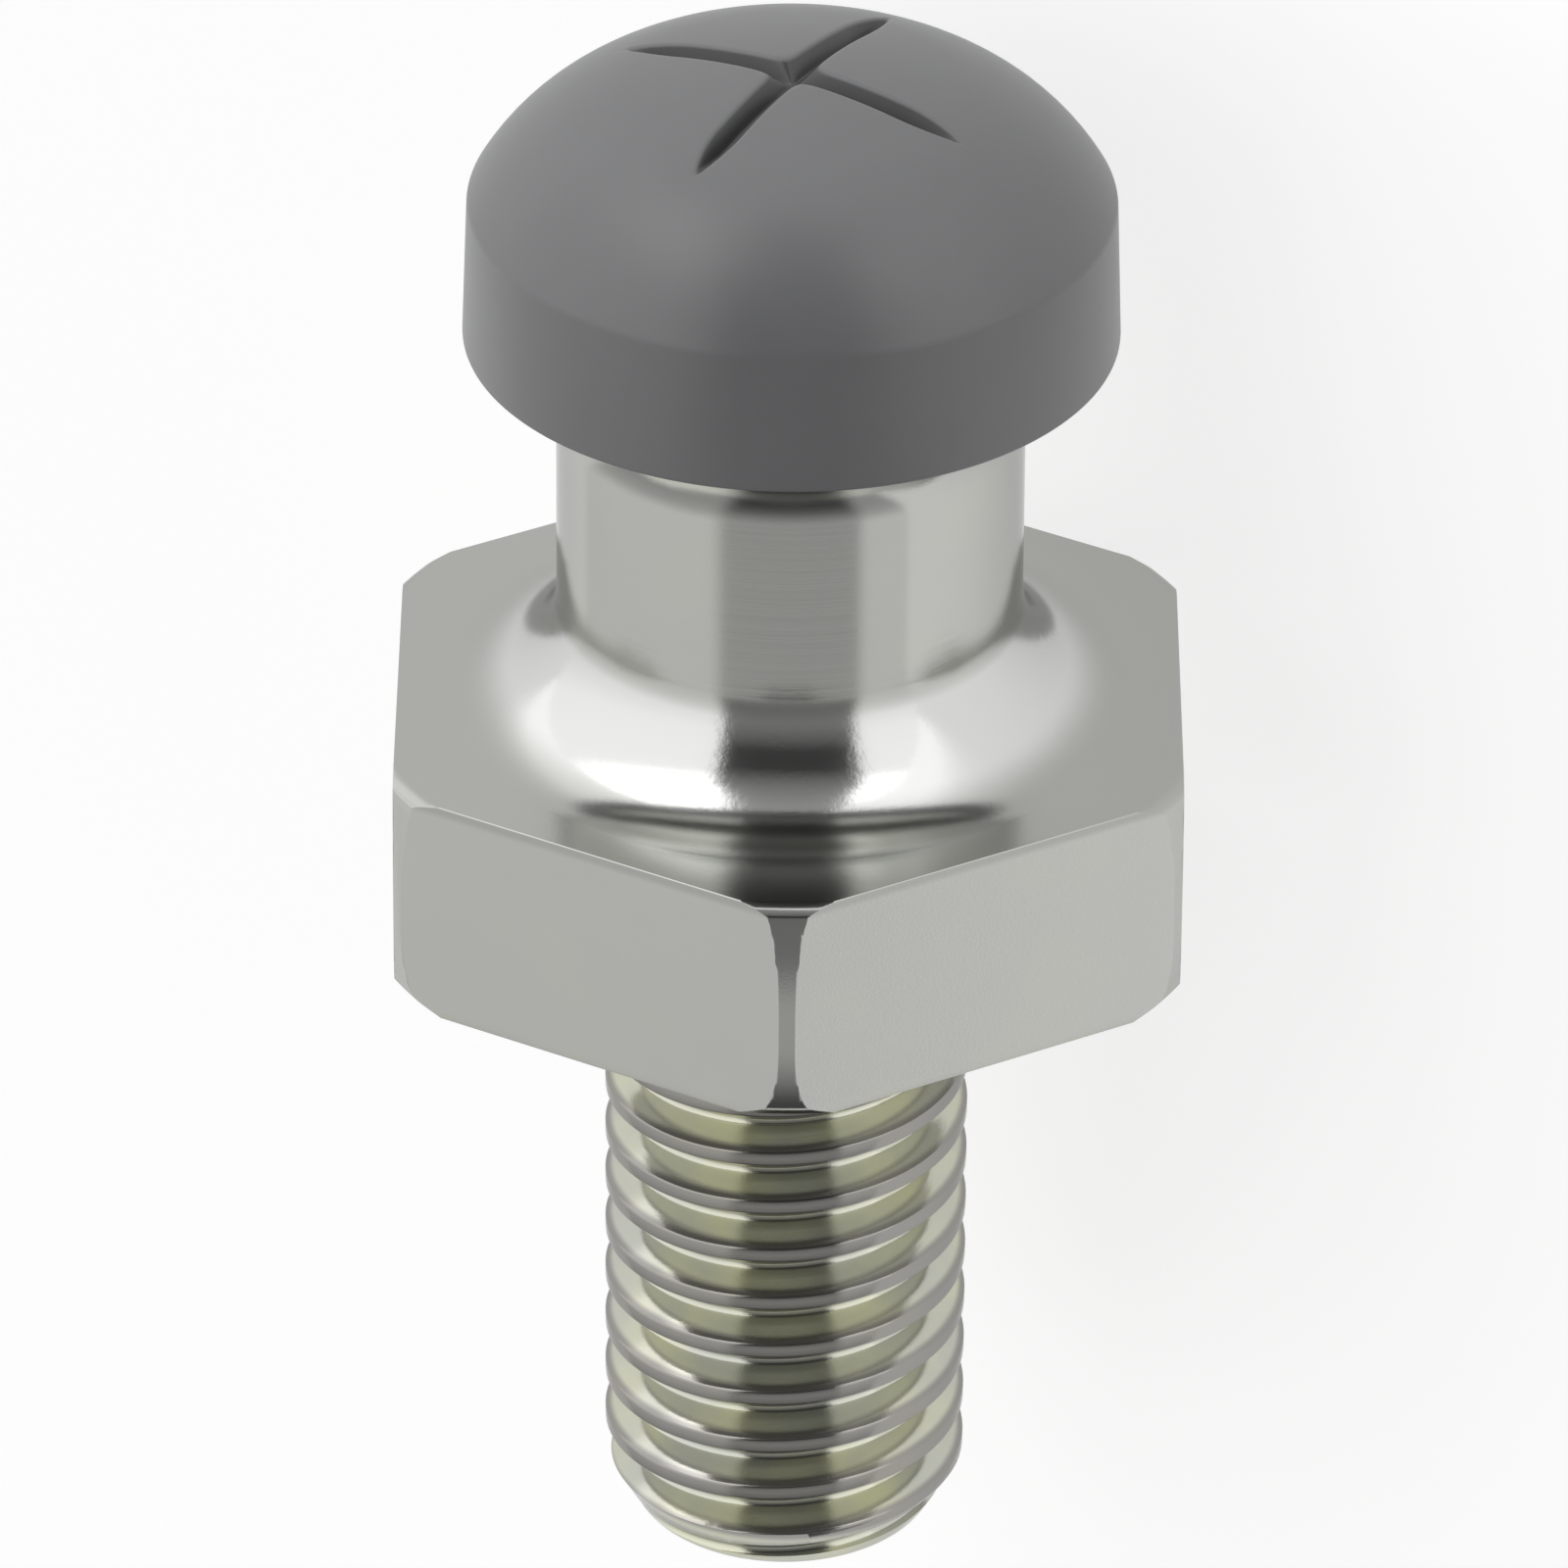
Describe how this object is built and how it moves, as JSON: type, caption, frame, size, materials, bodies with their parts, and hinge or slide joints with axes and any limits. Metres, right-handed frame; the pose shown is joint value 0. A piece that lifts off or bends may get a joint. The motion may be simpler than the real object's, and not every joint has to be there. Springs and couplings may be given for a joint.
{
  "type": "ball stud",
  "caption": "Zinc-plated steel ball stud: metric shank, hexagon collar, waisted neck and a domed grey plastic cap that a socket or clip snaps over.",
  "frame": {"origin": "on the stud's axis, in the plane of the collar's seat face where the shank leaves the collar", "axes": "+Y along the axis towards the head, -Y along the shank, -Z down through the collar flat that the stud lies on"},
  "size_m": [0.0194, 0.036, 0.017],
  "materials": {
    "zinc_steel": "turned steel with bright zinc plate, a faint yellow tint on the thread",
    "cap_plastic": "satin moulded dark grey plastic"
  },
  "bodies": {
    "root": {"stud": "zinc_steel", "head_cap": "cap_plastic"}
  },
  "joints": []
}
